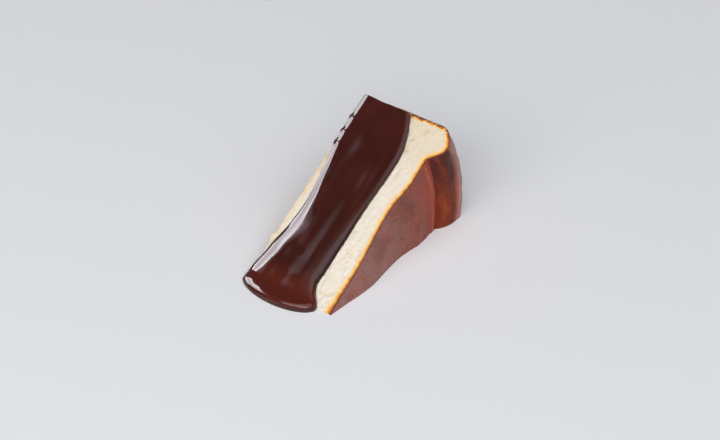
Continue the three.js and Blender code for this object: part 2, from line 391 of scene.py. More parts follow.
class CheesecakeStageSettings(bpy.types.PropertyGroup):
    """Floor, lights and camera."""

    floor_size: length("Floor size", "Side of the floor", 6000)
    floor_colour: colour("Floor", "The plain floor", 246, 246, 248)
    cloud_colour: colour("Floor clouds", "Faint darker clouds in it", 218, 218, 218)
    camera_azimuth: turn("Camera azimuth", "Round the part, from in front of the tip", 39.36)
    camera_elevation: turn("Camera elevation", "Above the floor", 35.42)
    camera_distance: length("Camera distance", "From the point it looks at", 1000)
    look_at_height: length("Look-at height", "That point, from the cake's bottom towards its top", 12)
    look_at_radius: length("Look-at radius", "That point, from the cake's axis towards its rim", 65)
    lens: number("Lens", "Focal length for a 36 mm wide sensor", 106.8)
    world_light: number("World light", "Strength of the even light all round", 0.1)
    glow_light: number("Glow", "Strength of the large soft light at its middle", 1.45)
    glow_edge: number("Glow edge", "Where the large soft light ends, as the cosine from its middle", 0.55)


# Curves and fields

def smooth_step(value, low, high):
    share = np.clip((value - low) / (high - low), 0, 1)
    return share * share * (3 - 2 * share)


def ease(value, span):
    """A smooth step from 0 at the first end of a span in mm to 1 at its other end."""
    low, high = span
    return smooth_step(value, low * MM, high * MM)


def hump(value, middle, half_width):
    """A soft hump, 1 at its middle."""
    return np.exp(-(((value - middle) / half_width) ** 2))


def between(low, high, share):
    return low + (high - low) * share


def cubic(start, first, second, end, count=24):
    t = np.linspace(0, 1, count)[:, None]
    parts = ((1 - t) ** 3, 3 * t * (1 - t) ** 2, 3 * t * t * (1 - t), t ** 3)
    return sum(part * np.array(place) for part, place in zip(parts, (start, first, second, end)))


def spline(points, per_span=24):
    """A smooth path through the points."""
    points = np.array(points, float)
    padded = np.vstack([points[:1], points, points[-1:]])
    t = np.linspace(0, 1, per_span, endpoint=False)[:, None]
    spans = []
    for before, start, end, after in zip(padded, padded[1:], padded[2:], padded[3:]):
        leave = (end - before) / 2
        arrive = (after - start) / 2
        swing = 2 * start - 2 * end + leave + arrive
        bend = 3 * end - 3 * start - 2 * leave - arrive
        spans.append(swing * t ** 3 + bend * t ** 2 + leave * t + start)
    return np.vstack([*spans, points[-1:]])


def spaced(path, count):
    """The same path as count + 1 points at equal distances."""
    path = np.array(path, float)
    run = np.concatenate([[0], np.cumsum(np.linalg.norm(np.diff(path, axis=0), axis=1))])
    stops = np.linspace(0, run[-1], count + 1)
    return np.stack([np.interp(stops, run, path[:, axis]) for axis in range(2)], axis=1)


def filled(low, high, start, end):
    """Grid inside four paths: low and high along its first axis, start and end along its second."""
    a = np.linspace(0, 1, len(low))[:, None, None]
    b = np.linspace(0, 1, len(start))[None, :, None]
    sides = low[:, None] * (1 - b) + high[:, None] * b + start[None] * (1 - a) + end[None] * a
    corners = (
        low[0] * (1 - a) * (1 - b) + low[-1] * a * (1 - b) + high[0] * (1 - a) * b + high[-1] * a * b
    )
    return sides - corners


def distance_to(path, places):
    """Distance from each place to a path of straight pieces."""
    best = np.full(len(places), np.inf)
    for start, end in zip(path, path[1:]):
        along = end - start
        share = np.clip((places - start) @ along / max(along @ along, 1e-18), 0, 1)
        gap = np.linalg.norm(places - start - share[:, None] * along, axis=1)
        best = np.minimum(best, gap)
    return best


def waves(places, size, octaves=3):
    """Smooth noise, about -1 to 1, with swells of the given size in mm along each axis."""
    scaled = places / (np.array(size) * MM)
    return np.array([noise.fractal(place, 1.0, 2.0, octaves) for place in scaled.tolist()])


# The slice's form

def slice_sides(s):
    """Sides of the upper cut face, as radius and height: base and top from the tip, tip and rim upward."""
    corner = np.array((s.cake_radius, 0))
    bottom_end = corner - (s.bottom_round, 0)
    side_bottom = corner + (0, s.bottom_round)
    side_top = corner + (s.side_lean, s.lip_shoulder)
    crest = np.array((s.lip_radius, s.lip_height))
    crease = np.array((s.crease_radius, s.crease_height))
    tip_top = (s.tip_radius, s.tip_height)
    tip_bottom = (s.tip_radius, 0)
    outer_corner = np.array((side_top[0], crest[1]))
    outer_lip = cubic(
        side_top,
        between(side_top, outer_corner, s.outer_fullness),
        between(crest, outer_corner, s.outer_fullness),
        crest,
    )
    inner_lip = cubic(
        crest,
        (between(crease[0], crest[0], s.inner_fullness), crest[1]),
        between(crest, crease, s.inner_fullness),
        crease,
    )
    dish = spline((
        crease,
        (s.outer_top_radius, s.outer_top_height),
        (s.dish_radius, s.dish_height),
        (s.inner_top_radius, s.inner_top_height),
        tip_top,
    ))
    round_edge = cubic(bottom_end, (bottom_end + corner) / 2, (corner + side_bottom) / 2, side_bottom)
    half_edge = len(round_edge) // 2
    half_lip = len(outer_lip) // 2
    base = np.vstack([[tip_bottom], round_edge[: half_edge + 1]])
    rim = np.vstack([round_edge[half_edge:], outer_lip[: half_lip + 1]])
    top = np.vstack([outer_lip[half_lip:], inner_lip[1:], dish[1:]])[::-1]
    tip = np.array([tip_bottom, tip_top])
    return base, top, tip, rim


def top_change(s, radius, share):
    """How far the top stands above its height on the upper cut face, with share 0 there, 1 at the lower."""
    sag = s.crease_sag * smooth_step(radius, s.lip_sag_start, s.crease_radius)
    sag += (s.lip_sag - s.crease_sag) * smooth_step(radius, s.crease_radius, s.lip_radius)
    sag -= s.corner_lift * smooth_step(radius, s.lip_radius, s.cake_radius)
    inner = np.minimum(radius, s.inner_lift_span)
    lift = s.inner_lift * np.sin(np.pi * inner / s.inner_lift_span) ** 2
    fade = np.sin(np.pi * share) * ease(radius, TOP_WAVES_START)
    along = np.sin(2 * np.pi * radius / s.wave_length + WAVE_TURN_ALONG * share)
    across = np.cos(WAVE_TURN_ACROSS * share + radius / s.wave_length)
    return share * (lift - sag) + s.wave_depth * fade * along * across


def fold_crest(s, angle, height):
    """Folds of the baking paper, which wander a little: 1 on their crests, 0 in the creases between."""
    arc = np.stack([np.zeros(len(angle)), s.cake_radius * angle, height], axis=1)
    wander = waves(arc, FOLD_WANDER, 1)
    return np.abs(np.sin(np.pi * (angle / s.fold_pitch + FOLD_SHIFT + FOLD_STRAY * wander)))


def side_fold(s, angle, height):
    """Folds of the baking paper in the side, which fade at the bottom and the lip."""
    fade = np.sin(np.pi * np.clip(height / s.lip_height, 0, 1))
    return fade * s.fold_depth * (fold_crest(s, angle, height) - FOLD_MEAN)


def base_crease(s, angle, radius):
    """Depth of the creases that run on from the side's folds into the base."""
    crease = (1 - fold_crest(s, angle, np.zeros(len(angle)))) ** BASE_CREASE_POWER
    return s.crease_depth * crease * ease(radius, BASE_CREASE_START)


def pores(s, places, depth_inside, generator):
    """Dents of open pores on a cut face, and how deep in a pore each place is, from 0 to 1."""
    dent = np.zeros(len(places))
    pit = np.zeros(len(places))
    low = places.min(axis=0)
    high = places.max(axis=0)
    for _ in range(s.pore_count):
        centre = generator.uniform(low, high)
        if generator.random() < PORES_AT_TIP:
            centre[0] = between(low[0], centre[0], PORES_AT_TIP_SPAN)
        radius = generator.uniform(*PORE_RADII) * MM
        gap = np.linalg.norm((places - centre) * (1, generator.uniform(*PORE_STRETCH)), axis=1)
        bowl = hump(gap, 0, radius)
        dent = np.maximum(dent, bowl * radius * PORE_DEPTH)
        pit = np.maximum(pit, bowl)
    inside = ease(depth_inside, PORES_START)
    return dent * inside, pit * inside


class SliceLattice:
    """The skin of a block of cells that is bent into the slice: places, faces and what each face is."""

    def __init__(self, s):
        self.s = s
        base, top, tip, rim = slice_sides(s)
        grid = filled(
            spaced(base, RADIUS_CELLS),
            spaced(top, RADIUS_CELLS),
            spaced(tip, HEIGHT_CELLS),
            spaced(rim, HEIGHT_CELLS),
        )
        counts = (RADIUS_CELLS + 1, HEIGHT_CELLS + 1, ANGLE_CELLS + 1)
        u, v, w = np.meshgrid(*(np.arange(count) for count in counts), indexing="ij")
        on = {
            "upper_cut": w == 0,
            "lower_cut": w == ANGLE_CELLS,
            "top": v == HEIGHT_CELLS,
            "base": v == 0,
            "tip": u == 0,
            "rim": u == RADIUS_CELLS,
        }
        skin = np.logical_or.reduce(list(on.values()))
        self.index = np.full(counts, -1)
        self.index[skin] = np.arange(skin.sum())
        self.on = {face: mask[skin] for face, mask in on.items()}
        self.share = w[skin] / ANGLE_CELLS
        self.angle = s.slice_angle * (1 - self.share)
        self.radius = grid[u[skin], v[skin], 0]
        raised = 1 + top_change(s, self.radius, self.share) / s.tip_height
        self.height = grid[u[skin], v[skin], 1] * raised
        self.fold = np.zeros(len(self.radius))
        self.find_depths()

    def around(self):
        """Places as radius, arc and height."""
        return np.stack([self.radius, self.radius * self.angle, self.height], axis=1)

    def quads(self, face):
        """Corner indices of one face's cells, facing out."""
        layer = {
            "upper_cut": self.index[:, :, 0],
            "lower_cut": self.index[:, ::-1, -1],
            "top": self.index[:, -1, :],
            "base": self.index[:, 0, ::-1],
            "tip": self.index[0],
            "rim": self.index[-1, :, ::-1],
        }[face]
        corners = (layer[:-1, :-1], layer[:-1, 1:], layer[1:, 1:], layer[1:, :-1])
        return np.stack(corners, axis=-1).reshape(-1, 4)

    def find_depths(self):
        """Distance of each place on the cut faces and the tip from the top, the side and the base."""
        self.depths = np.zeros((len(self.radius), 3))
        flat = np.stack([self.radius, self.height], axis=1)
        for cut in ("upper_cut", "lower_cut", "tip"):
            here = self.on[cut]
            outline = here if cut != "tip" else self.on["upper_cut"]
            for column, edge in enumerate(("top", "rim", "base")):
                ring = flat[outline & self.on[edge]]
                self.depths[here, column] = distance_to(ring, flat[here])

    def bent(self):
        """Places from the cake's axis, with the foot of the tip a little in front of its upper edge."""
        near_tip = np.exp(-(self.radius - self.s.tip_radius) / (TIP_FOOT_FADE * MM))
        forward = self.s.tip_foot * self.share * near_tip
        return np.stack(
            [self.height, self.radius * np.cos(self.angle) - forward, self.radius * np.sin(self.angle)],
            axis=1,
        )


def wrinkle_top(s, cake, around):
    """Wrinkles of the burnt skin, the groove along the crease and the hollow along the lip."""
    top = cake.on["top"]
    share = cake.share[top]
    past_crease = (cake.radius[top] - s.crease_radius) / s.groove_width
    cake.radius[top] -= s.crease_drift * share * hump(cake.radius[top], s.crease_radius, s.crease_reach)
    swell = waves(around[top], SKIN_SWELL, 2)
    streak = waves(around[top] + 3, SKIN_STREAK, 3)
    grain = waves(around[top] + 7, SKIN_GRAIN, 2)
    wrinkles = ease(cake.radius[top], SKIN_START) * (swell + streak / 2 + grain / 4)
    groove = hump(past_crease, GROOVE_MIDDLE, 1)
    groove -= RIDGE_HEIGHT * hump(past_crease, RIDGE_MIDDLE, RIDGE_WIDTH)
    along_lip = smooth_step(share, *HOLLOW_START) * smooth_step(share, *HOLLOW_END)
    hollow = hump(cake.radius[top], s.hollow_radius, s.hollow_width) * (1 + HOLLOW_UNEVEN * streak)
    cake.height[top] += s.skin_depth * wrinkles - s.groove_depth * groove
    cake.height[top] -= s.hollow_depth * hollow * along_lip


def crinkle_side(s, cake, around):
    """Folds of the baking paper in the side, with finer crinkles and blisters."""
    rim = cake.on["rim"]
    crinkle = SIDE_CRINKLE_DEPTH * MM * waves(around[rim], SIDE_CRINKLE, 2)
    blister = SIDE_BLISTER_DEPTH * MM * waves(around[rim] + 5, SIDE_BLISTER, 2)
    cake.fold[rim] = side_fold(s, cake.angle[rim], cake.height[rim]) + crinkle
    cake.radius[rim] += cake.fold[rim] + blister


def crease_base(s, cake, around):
    """The uneven base with its creases, and the lump that stands out of its edge."""
    base = cake.on["base"]
    swell = BASE_SWELL_DEPTH * MM * waves(around[base], BASE_SWELL, 3)
    grain = BASE_GRAIN_DEPTH * MM * waves(around[base] + 2, BASE_GRAIN, 2)
    lump = s.lump_reach * hump(cake.share[base], 0, LUMP_SHARE)
    lump *= hump(cake.radius[base], s.lump_radius, LUMP_HALF_WIDTH * MM)
    cake.fold[base] = -base_crease(s, cake.angle[base], cake.radius[base])
    outward = swell + grain + lump + cake.fold[base]
    cake.height[base] -= np.maximum(outward, -BASE_DEEPEST_DENT * MM)


def add_crumb(s, cake, places):
    """Moves the cut faces in and out like torn crumb. Returns how deep in a pore each place is."""
    generator = np.random.default_rng(SEED)
    pit = np.zeros(len(places))
    normals = {
        "upper_cut": np.array((0, -math.sin(s.slice_angle), math.cos(s.slice_angle))),
        "lower_cut": np.array((0, 0, -1)),
    }
    for cut, outward in normals.items():
        here = cake.on[cut]
        flat = np.stack([cake.radius[here], cake.height[here]], axis=1)
        solid = np.stack([flat[:, 0], flat[:, 1], np.full(len(flat), outward[2])], axis=1)
        depth_inside = cake.depths[here].min(axis=1)
        fade = ease(depth_inside, CRUMB_START)
        near_tip = 1 - ease(flat[:, 0], CRUMB_CALMER)
        crumb = waves(solid, CRUMB_SIZE, 3) * (1 + near_tip)
        drag = waves(solid, CRUMB_DRAG, 2)
        dent, pit[here] = pores(s, flat, depth_inside, generator)
        rise = s.crumb_depth * fade * (crumb + drag) - dent
        if cut == "lower_cut":
            rise = np.minimum(rise, 0)
        places[here] += rise[:, None] * outward
    return pit


def frame_offset(s):
    """Where the cake's bottom and axis are in the frame."""
    tip = s.tip_radius * math.cos(s.slice_angle)
    return np.array((SLICE_BOX[0].x, SLICE_BOX[0].y - tip, 0))


def make_mesh(name, places, quads, slots, materials):
    mesh = bpy.data.meshes.new(name)
    mesh.from_pydata(places.tolist(), [], quads.tolist())
    for material in materials:
        mesh.materials.append(material)
    mesh.polygons.foreach_set("material_index", slots)
    mesh.polygons.foreach_set("use_smooth", np.ones(len(quads), bool))
    piece = bpy.data.objects.new(name, mesh)
    bpy.context.scene.collection.objects.link(piece)
    return piece


def keep(mesh, name, values):
    """Stores a number or a vector for each point."""
    kind, field = ("FLOAT", "value") if values.ndim == 1 else ("FLOAT_VECTOR", "vector")
    held = mesh.attributes.new(name, kind, "POINT")
    held.data.foreach_set(field, values.astype(np.float32).ravel())


def mark_sharp(mesh, cake):
    """Keeps the edges round both cut faces and the tip crisp."""
    ends = np.zeros(len(mesh.edges) * 2, int)
    mesh.edges.foreach_get("vertices", ends)
    first, second = ends.reshape(-1, 2).T
    both = {face: mask[first] & mask[second] for face, mask in cake.on.items()}
    rest = both["top"] | both["base"] | both["tip"] | both["rim"]
    sharp = (both["upper_cut"] | both["lower_cut"]) & rest
    sharp |= both["tip"] & (both["top"] | both["base"])
    held = mesh.attributes.new("sharp_edge", "BOOLEAN", "EDGE")
    held.data.foreach_set("value", sharp)


# Materials: places are in mm, and remap gives where something starts and ends, then its values there

def opaque(shade):
    return (*shade, 1.0)[:4]


def give(tree, socket, value):
    """Links a socket to another one, or sets it to a value."""
    if isinstance(value, bpy.types.NodeSocket):
        tree.links.new(value, socket)
    else:
        socket.default_value = opaque(value) if socket.type == "RGBA" else value


def add_node(tree, kind, inputs=None, **settings):
    """A new node with its settings, and its inputs given as values or as sockets to link."""
    made = tree.nodes.new(kind)
    for key, value in settings.items():
        setattr(made, key, value)
    for key, value in (inputs or {}).items():
        give(tree, made.inputs[key], value)
    return made


def maths(tree, operation, *values, clamp=False):
    inputs = dict(enumerate(values))
    return add_node(tree, "ShaderNodeMath", inputs, operation=operation, use_clamp=clamp).outputs[0]


def times(tree, first, second):
    return maths(tree, "MULTIPLY", first, second)


def axes(tree, vector):
    """The three parts of a vector."""
    return add_node(tree, "ShaderNodeSeparateXYZ", {0: vector}).outputs


def remap(tree, value, low, high, to_low=0.0, to_high=1.0):
    """A smooth change from to_low, where the value is low, to to_high, where it is high."""
    inputs = {"Value": value, "From Min": low, "From Max": high, "To Min": to_low, "To Max": to_high}
    return add_node(tree, "ShaderNodeMapRange", inputs, interpolation_type="SMOOTHSTEP").outputs["Result"]


def mix(tree, factor, first, second, blend="MIX"):
    inputs = {0: factor, 6: first, 7: second}
    return add_node(tree, "ShaderNodeMix", inputs, data_type="RGBA", blend_type=blend).outputs[2]


def ramp(tree, value, stops):
    """Colour by value, through (position, colour) stops."""
    made = add_node(tree, "ShaderNodeValToRGB", {"Fac": value})
    elements = made.color_ramp.elements
    while len(elements) < len(stops):
        elements.new(1.0)
    for element, (position, shade) in zip(elements, stops):
        element.position = position
        element.color = opaque(shade)
    return made.outputs["Color"]


def attribute(tree, name, output="Vector"):
    return add_node(tree, "ShaderNodeAttribute", attribute_name=name).outputs[output]


def new_group(name, inputs, output):
    """An empty shader node group with named inputs and one value as its output."""
    group = bpy.data.node_groups.new(name, "ShaderNodeTree")
    group.interface.new_socket("Place", in_out="INPUT", socket_type="NodeSocketVector")
    for label, default in inputs.items():
        socket = group.interface.new_socket(label, in_out="INPUT", socket_type="NodeSocketFloat")
        socket.default_value = default
    group.interface.new_socket(output, in_out="OUTPUT", socket_type="NodeSocketFloat")
    start = group.nodes.new("NodeGroupInput").outputs
    end = group.nodes.new("NodeGroupOutput").inputs
    return group, start, end


def noise_over(tree, place, scale, detail):
    """Smooth noise over the place, about 0 to 1."""
    inputs = {"Vector": place, "Scale": scale, "Detail": detail}
    return add_node(tree, "ShaderNodeTexNoise", inputs).outputs["Fac"]


def mottle_group():
    """Soft blotches from 0 to 1: a noise over the place, pulled apart by its contrast."""
    values = {"Scale": 0.1, "Detail": 3.0, "Low": 0.35, "High": 0.65}
    group, start, end = new_group("Mottle", values, "Mask")
    blotch = noise_over(group, start["Place"], start["Scale"], start["Detail"])
    group.links.new(remap(group, blotch, start["Low"], start["High"]), end["Mask"])
    return group


def grain_group():
    """Fine uneven height for a bump: a soft grain with a finer one on it."""
    group, start, end = new_group("Grain", {"Scale": 1.0}, "Height")
    soft = noise_over(group, start["Place"], start["Scale"], 2.0)
    fine = noise_over(group, start["Place"], times(group, start["Scale"], 3.1), 2.0)
    group.links.new(maths(group, "MULTIPLY_ADD", fine, 0.45, soft), end["Height"])
    return group


def from_group(tree, name, builder, inputs):
    """The output of a shared node group, which is built the first time that it is asked for."""
    group = bpy.data.node_groups.get(name) or builder()
    return add_node(tree, "ShaderNodeGroup", inputs, node_tree=group).outputs[0]


def mottle(tree, place, scale, low=0.35, high=0.65, detail=3.0):
    """Soft blotches over the place, from the shared group."""
    inputs = {"Place": place, "Scale": scale, "Detail": detail, "Low": low, "High": high}
    return from_group(tree, "Mottle", mottle_group, inputs)


def grain_normal(tree, place, scale, strength, millimetres):
    """Normal of a fine grain, as a bump of the given depth."""
    height = from_group(tree, "Grain", grain_group, {"Place": place, "Scale": scale})
    inputs = {"Height": height, "Strength": strength, "Distance": millimetres * MM}
    return add_node(tree, "ShaderNodeBump", inputs).outputs["Normal"]


def new_material(name):
    material = bpy.data.materials.new(name)
    material.use_nodes = True
    tree = material.node_tree
    return material, tree, tree.nodes["Principled BSDF"]


def set_inputs(tree, shader, **inputs):
    """Sets or links the shader's inputs. An underscore in a name stands for a space."""
    for key, value in inputs.items():
        give(tree, shader.inputs[key.replace("_", " ")], value)


def set_skin(tree, shader, shade, fine, rough, place, grain, specular):
    """A baked skin: its colour, its roughness over its fine blotches, its grain and its shine."""
    set_inputs(
        tree,
        shader,
        Base_Color=shade,
        Roughness=remap(tree, fine, 0.0, 1.0, *rough),
        Normal=grain_normal(tree, place, *grain),
        Specular_IOR_Level=specular,
    )


def cream_material(s):
    """The cut inside: pale cream, darkened towards the rim as painted shade, golden and then caramel
    towards the crust, with painted shade in its pores.
    """
    material, tree, shader = new_material("Cream crumb")
    place = attribute(tree, "cake_place")
    from_top, from_side, from_base = axes(tree, attribute(tree, "crust_depth"))
    radius = axes(tree, place)["X"]
    wobble = mottle(tree, place, 0.35, 0.25, 0.75)
    jitter = maths(tree, "MULTIPLY_ADD", wobble, 0.7, -0.3)
    ragged = maths(tree, "MULTIPLY_ADD", mottle(tree, place, 0.75, 0.3, 0.7), 1.3, -0.6)
    side = maths(tree, "MULTIPLY_ADD", from_side, 1.3, ragged)
    top = times(tree, from_top, remap(tree, radius, 4.0, 30.0, 0.7, 1.0))
    base = maths(tree, "MULTIPLY_ADD", from_base, 1.6, 2.8)
    nearest = maths(tree, "SMOOTH_MIN", top, maths(tree, "MINIMUM", side, base), 0.6)
    grown = times(tree, jitter, remap(tree, nearest, 0.0, 1.4))
    bake = maths(tree, "DIVIDE", maths(tree, "ADD", nearest, grown), 6.0, clamp=True)

    patches = mottle(tree, place, 0.16, 0.4, 0.7)
    # Painted shade: the cream is darkened towards the rim to even out the light there
    near_rim = remap(tree, radius, 60.0, 92.0, 0.0, 0.7)
    outward = maths(tree, "ADD", near_rim, remap(tree, from_base, 5.0, 0.0, 0.0, 0.6))
    warmth = maths(tree, "MULTIPLY_ADD", patches, 0.25, outward, clamp=True)
    inside = mix(tree, warmth, s.cream, s.warm_and_shaded_cream)
    stops = (0.0, 0.07, 0.125, 0.2, 0.3, 0.56)
    shades = (s.rind, s.rind, s.caramel, s.orange, s.golden, s.warm_and_shaded_cream)
    crust = ramp(tree, bake, tuple(zip(stops, shades)))
    dark_specks = mottle(tree, place, 0.5, 0.58, 0.68, 2.0)
    crust = mix(tree, times(tree, dark_specks, remap(tree, from_side, 2.2, 0.5)), crust, s.rind)
    toned = mix(tree, remap(tree, bake, 0.26, 0.66), crust, inside)
    specks = times(tree, mottle(tree, place, 0.9, 0.52, 0.72, 2.0), 0.1)
    toned = mix(tree, specks, toned, s.golden, "MULTIPLY")
    near_base = remap(tree, from_base, 2.6, 0.2, 0.0, 0.55)
    baked_bits = times(tree, mottle(tree, place, 0.2, 0.3, 0.8), near_base)
    toned = mix(tree, baked_bits, toned, s.golden, "MULTIPLY")
    # Painted shade inside the pores
    pit = times(tree, attribute(tree, "pore_depth", "Fac"), 0.35)
    toned = mix(tree, pit, toned, s.pore, "MULTIPLY")
    set_skin(tree, shader, toned, wobble, (0.5, 0.68), place, (1.1, 0.5, 0.25), 0.35)
    set_inputs(
        tree,
        shader,
        Subsurface_Weight=0.2,
        Subsurface_Radius=(1.0, 0.75, 0.5),
        Subsurface_Scale=0.8 * MM,
    )
    return material


def stretched_place(tree, place):
    """The place with its arc drawn out, for streaks that run round the cake."""
    inputs = {0: place, 1: (1.0, 0.2, 1.0)}
    return add_node(tree, "ShaderNodeVectorMath", inputs, operation="MULTIPLY").outputs[0]


def burnt_material(s):
    """The burnt top: satin mahogany, darker blotches, painted mauve sheen at the tip, copper towards the
    crease.
    """
    material, tree, shader = new_material("Burnt skin")
    place = attribute(tree, "cake_place")
    radius = axes(tree, place)["X"]
    blotch = mottle(tree, place, 0.09, 0.32, 0.7, 4.0)
    streak = mottle(tree, stretched_place(tree, place), 0.3, 0.4, 0.7, 4.0)
    fine = mottle(tree, place, 0.9, 0.4, 0.7)
    skin = mix(tree, times(tree, blotch, 0.62), s.mahogany, s.burnt)
    near_tip = remap(tree, radius, 82.0, 30.0)
    # Painted sheen: paler mauve towards the tip, where the skin would mirror the floor
    skin = mix(tree, times(tree, near_tip, remap(tree, blotch, 0.0, 1.0, 0.85, 0.45)), skin, s.painted_sheen_mauve)
    skin = mix(tree, times(tree, streak, 0.3), skin, s.amber)
    near_crease = remap(tree, radius, 62.0, 80.0)
    skin = mix(tree, times(tree, near_crease, remap(tree, blotch, 0.0, 1.0, 0.9, 0.5)), skin, s.copper)
    # Painted highlight on the ridge beside the crease
    skin = mix(tree, remap(tree, radius, 78.6, 82.0, 0.0, 0.7), skin, s.painted_ridge_highlight)
    skin = mix(tree, times(tree, fine, 0.3), skin, s.burnt)
    set_skin(tree, shader, skin, fine, (0.3, 0.42), place, (1.6, 0.35, 0.2), 0.27)
    return material


def lip_material(s):
    """The raised lip: dark maroon with amber streaks round it, painted shade in a hollow and a painted
    sheen on its outer edge.
    """
    material, tree, shader = new_material("Burnt lip")
    place = attribute(tree, "cake_place")
    radius, arc, _ = axes(tree, place)
    streak = mottle(tree, stretched_place(tree, place), 0.34, 0.38, 0.7, 2.0)
    shade = mottle(tree, stretched_place(tree, place), 0.27, 0.45, 0.6, 2.0)
    fine = mottle(tree, place, 0.9, 0.4, 0.7)
    low_end = remap(tree, arc, 34.0, 18.0)
    warm = maths(tree, "MULTIPLY_ADD", streak, 0.4, times(tree, low_end, 0.3), clamp=True)
    skin = mix(tree, warm, s.maroon, s.amber)
    outside = remap(tree, radius, 91.2, 95.2, 0.0, 0.85)
    # Painted shade: the hollow and the lip's inner wall beside the crease get the burnt colour
    hollow = times(tree, remap(tree, radius, 86.0, 90.0), remap(tree, outside, 0.3, 0.0))
    hollow = times(tree, hollow, remap(tree, arc, 20.0, 32.0, 0.0, 0.85))
    dark = times(tree, shade, remap(tree, low_end, 0.0, 1.0, 0.8, 0.3))
    skin = mix(tree, maths(tree, "MAXIMUM", dark, hollow), skin, s.burnt)
    # Painted sheen on the lip's outer edge
    skin = mix(tree, times(tree, outside, remap(tree, streak, 0.0, 1.0, 1.0, 0.7)), skin, s.painted_sheen_blush)
    skin = mix(tree, times(tree, fine, 0.25), skin, s.burnt)
    set_skin(tree, shader, skin, fine, (0.42, 0.56), place, (1.6, 0.35, 0.2), 0.16)
    return material


def side_material(s):
    """The side against the baking paper: rind brown painted as shade in the folds, tan on their crests,
    painted sheen at the lip.
    """
    material, tree, shader = new_material("Papered side")
    place = attribute(tree, "cake_place")
    height = axes(tree, place)["Z"]
    blotch = mottle(tree, place, 0.1, 0.3, 0.72, 4.0)
    fine = mottle(tree, place, 0.5, 0.42, 0.75, 4.0)
    # Painted shade: the creases between the folds get the dark rind colour
    crest = remap(tree, attribute(tree, "fold_height", "Fac"), -0.85, -0.1, 0.1, 1.0)
    skin = mix(tree, times(tree, blotch, 0.7), s.paper_tan, s.amber)
    skin = mix(tree, crest, s.rind, skin)
    skin = mix(tree, remap(tree, height, 8.0, 0.0, 0.0, 0.35), skin, s.paper_tan)
    skin = mix(tree, times(tree, fine, 0.25), skin, s.rind)
    browned = maths(tree, "MULTIPLY_ADD", blotch, 0.1, remap(tree, height, 8.0, 42.0, 0.0, 0.6))
    skin = mix(tree, browned, skin, s.maroon)
    near_lip = remap(tree, height, 38.0, 49.0)
    # Painted sheen on the side towards the lip
    skin = mix(tree, times(tree, near_lip, remap(tree, blotch, 0.0, 1.0, 0.75, 0.5)), skin, s.painted_sheen_blush)
    set_skin(tree, shader, skin, fine, (0.5, 0.66), place, (1.3, 0.4, 0.25), 0.25)
    return material


def base_material(s):
    """The bottom of the cake: baked tan with browner patches, darker in its creases and at its rim."""
    material, tree, shader = new_material("Baked base")
    place = attribute(tree, "cake_place")
    radius = axes(tree, place)["X"]
    blotch = mottle(tree, place, 0.05, 0.3, 0.75, 5.0)
    fine = mottle(tree, place, 0.7, 0.4, 0.72, 4.0)
    browned = maths(tree, "MULTIPLY_ADD", blotch, 0.4, remap(tree, radius, 60.0, 100.0, 0.0, 0.35))
    skin = mix(tree, browned, s.base_tan, s.amber)
    skin = mix(tree, times(tree, fine, 0.4), skin, s.caramel)
    crease = remap(tree, attribute(tree, "fold_height", "Fac"), -0.06, -0.36, 0.0, 0.45)
    darker = maths(tree, "MAXIMUM", crease, remap(tree, radius, 84.0, 100.0, 0.0, 0.5))
    skin = mix(tree, darker, skin, s.rind)
    set_skin(tree, shader, skin, fine, (0.55, 0.7), place, (1.2, 0.4, 0.25), 0.2)
    return material


def sauce_material(s):
    """Glossy dark chocolate, redder where light from below is painted in its pool, with painted shade along
    its right edge.
    """
    material, tree, shader = new_material("Chocolate sauce")
    place = attribute(tree, "sauce_place")
    rise = axes(tree, place)["Z"]
    deep = remap(tree, attribute(tree, "sauce_depth", "Fac"), 1.0, 3.0)
    flow = mottle(tree, place, 0.06, 0.35, 0.7, 2.0)
    body = mix(tree, times(tree, flow, 0.25), s.chocolate, s.flow_and_pool_light_chocolate)
    # Painted light from below in the deep part of the pool
    body = mix(tree, times(tree, remap(tree, rise, 11.0, 4.0), deep), body, s.flow_and_pool_light_chocolate)
    # Painted shade along the sauce's right edge
    painted_shade = times(tree, attribute(tree, "sauce_shade", "Fac"), 0.85)
    body = mix(tree, painted_shade, body, s.painted_shade_chocolate)
    rough = remap(tree, flow, 0.0, 1.0, 0.06, 0.11)
    set_inputs(tree, shader, Base_Color=body, Roughness=rough, IOR=1.48)
    return material


def floor_material(s):
    """A plain pale matt floor."""
    material, tree, shader = new_material("Pale floor")
    place = add_node(tree, "ShaderNodeTexCoord").outputs["Object"]
    cloud = mottle(tree, place, 3.0, 0.3, 0.7, 2.0)
    shade = mix(tree, times(tree, cloud, 0.03), s.floor_colour, s.cloud_colour)
    rough = remap(tree, cloud, 0.0, 1.0, 0.6, 0.7)
    set_inputs(tree, shader, Base_Color=shade, Roughness=rough, Specular_IOR_Level=0.0)
    return material


# The sauce's form

def sauce_bed(s, height, y):
    """What the sauce lies on: the floor, then the upper cut face, and past the bottom edge a short drop."""
    slope = np.maximum(0, y * math.tan(s.slice_angle))
    return np.maximum(0, slope - EDGE_DROP * MM * ease(-height, (0, EDGE_DROP)))


def sauce_edges(s, sauce):
    """The sauce's left and right edge from above, each from the pool's front to the rim."""
    def over_slope(points):
        return [(height * MM, radius * MM * math.cos(s.slice_angle)) for radius, height in points]

    def front(turns):
        return np.stack(
            [
                sauce.pool_centre + sauce.pool_half_width * np.cos(turns),
                sauce.pool_reach * np.sin(turns),
            ],
            axis=1,
        )

    def joined(start, corner, points):
        round_front = front(np.linspace(start, corner, FRONT_STEPS))
        long_edge = spline([round_front[-1], *over_slope(points)], EDGE_STEPS)
        return np.vstack([round_front[:-1], long_edge])

    middle = 1.5 * math.pi
    left = joined(middle - FRONT_GAP, math.pi + sauce.pool_left_corner, SAUCE_LEFT_EDGE)
    right = joined(middle + FRONT_GAP, 2 * math.pi - sauce.pool_right_corner, SAUCE_RIGHT_EDGE)
    return left, right


